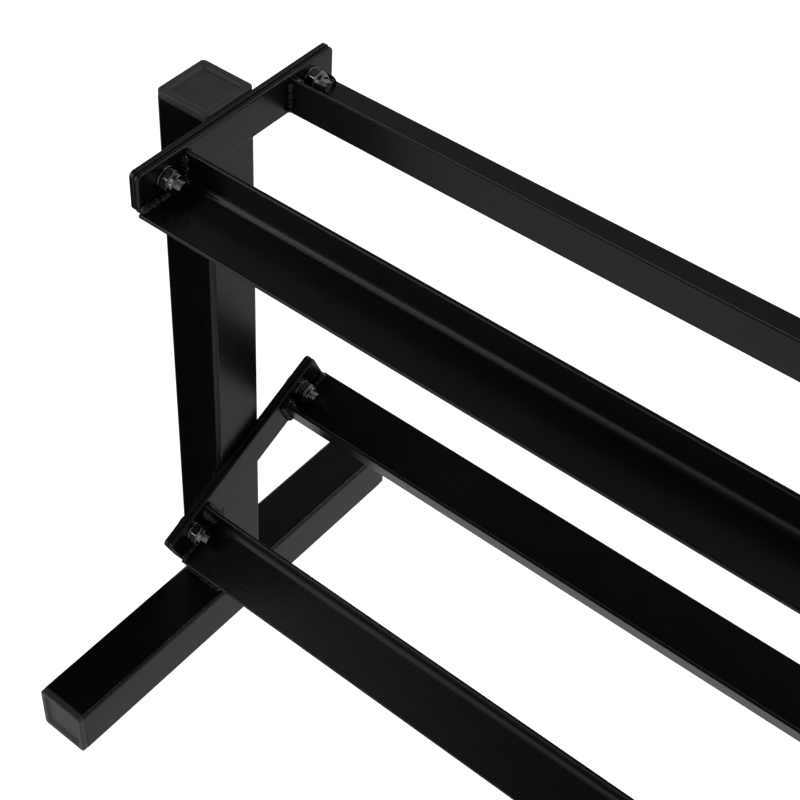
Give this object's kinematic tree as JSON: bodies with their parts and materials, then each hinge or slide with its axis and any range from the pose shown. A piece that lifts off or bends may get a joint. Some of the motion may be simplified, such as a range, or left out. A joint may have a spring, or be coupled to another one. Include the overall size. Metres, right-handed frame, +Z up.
{
  "type": "dumbbell rack",
  "caption": "Free-standing steel storage rack: square-tube end frames carry tiers of angle rails, the lower one tilted forward, for dumbbell heads to rest on.",
  "frame": {"origin": "on the floor, under the middle of the rack's length and of its feet", "axes": "+X along the rack, +Y to its back, +Z up; the front of the rack, which the lower tier leans towards, is -Y"},
  "size_m": [1.1, 0.422, 0.591],
  "materials": {
    "powder_coat": "semi-gloss black powder coat with a fine grain",
    "cap_plastic": "moulded black plastic, satin with a fine texture",
    "black_fastener": "black plated steel, glossy"
  },
  "bodies": {
    "root": {"left_foot_tube": "powder_coat", "left_upright_tube": "powder_coat", "left_upright_cap": "cap_plastic", "left_foot_cap_front": "cap_plastic", "left_foot_cap_rear": "cap_plastic", "right_foot_tube": "powder_coat", "right_upright_tube": "powder_coat", "right_upright_cap": "cap_plastic", "right_foot_cap_front": "cap_plastic", "right_foot_cap_rear": "cap_plastic", "upper_front_rail": "powder_coat", "upper_rear_rail": "powder_coat", "left_upper_bracket_plate": "powder_coat", "left_upper_end_plate": "powder_coat", "left_upper_front_bolt": "black_fastener", "left_upper_front_washer": "black_fastener", "left_upper_front_nut": "black_fastener", "left_upper_rear_bolt": "black_fastener", "left_upper_rear_washer": "black_fastener", "left_upper_rear_nut": "black_fastener", "right_upper_bracket_plate": "powder_coat", "right_upper_end_plate": "powder_coat", "right_upper_front_bolt": "black_fastener", "right_upper_front_washer": "black_fastener", "right_upper_front_nut": "black_fastener", "right_upper_rear_bolt": "black_fastener", "right_upper_rear_washer": "black_fastener", "right_upper_rear_nut": "black_fastener", "lower_front_rail": "powder_coat", "lower_rear_rail": "powder_coat", "left_lower_bracket_plate": "powder_coat", "left_lower_end_plate": "powder_coat", "left_lower_front_bolt": "black_fastener", "left_lower_front_washer": "black_fastener", "left_lower_front_nut": "black_fastener", "left_lower_rear_bolt": "black_fastener", "left_lower_rear_washer": "black_fastener", "left_lower_rear_nut": "black_fastener", "right_lower_bracket_plate": "powder_coat", "right_lower_end_plate": "powder_coat", "right_lower_front_bolt": "black_fastener", "right_lower_front_washer": "black_fastener", "right_lower_front_nut": "black_fastener", "right_lower_rear_bolt": "black_fastener", "right_lower_rear_washer": "black_fastener", "right_lower_rear_nut": "black_fastener"}
  },
  "joints": []
}
